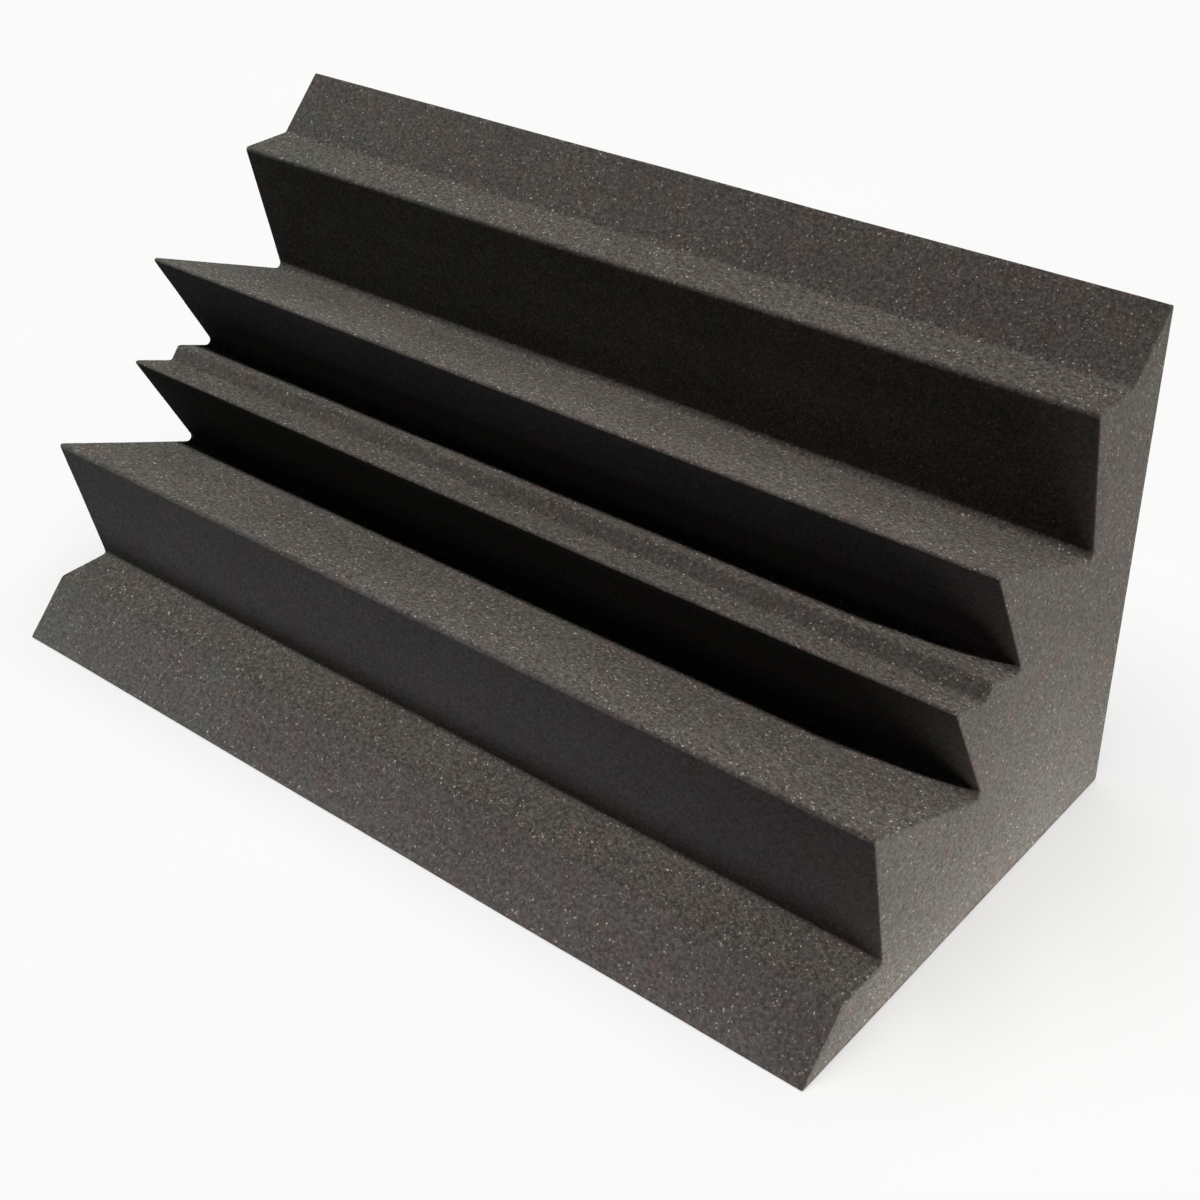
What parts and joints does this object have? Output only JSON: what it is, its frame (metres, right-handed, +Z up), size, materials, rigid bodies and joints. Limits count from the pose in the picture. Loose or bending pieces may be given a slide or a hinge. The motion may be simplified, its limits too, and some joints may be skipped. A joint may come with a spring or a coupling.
{
  "type": "corner bass trap",
  "caption": "Right-angled bar of charcoal acoustic foam with a wedge-cut zigzag face, which sits in the corner of a room and absorbs low sound.",
  "frame": {"origin": "middle of the bottom face, on the surface that the bar lies on", "axes": "+X along the bar, +Y out of the flat back face towards the wall, +Z up out of the surface that the bottom face lies on"},
  "size_m": [0.6096, 0.297, 0.297],
  "materials": {
    "charcoal_foam": "matte"
  },
  "bodies": {
    "root": {"foam_block": "charcoal_foam"}
  },
  "joints": []
}
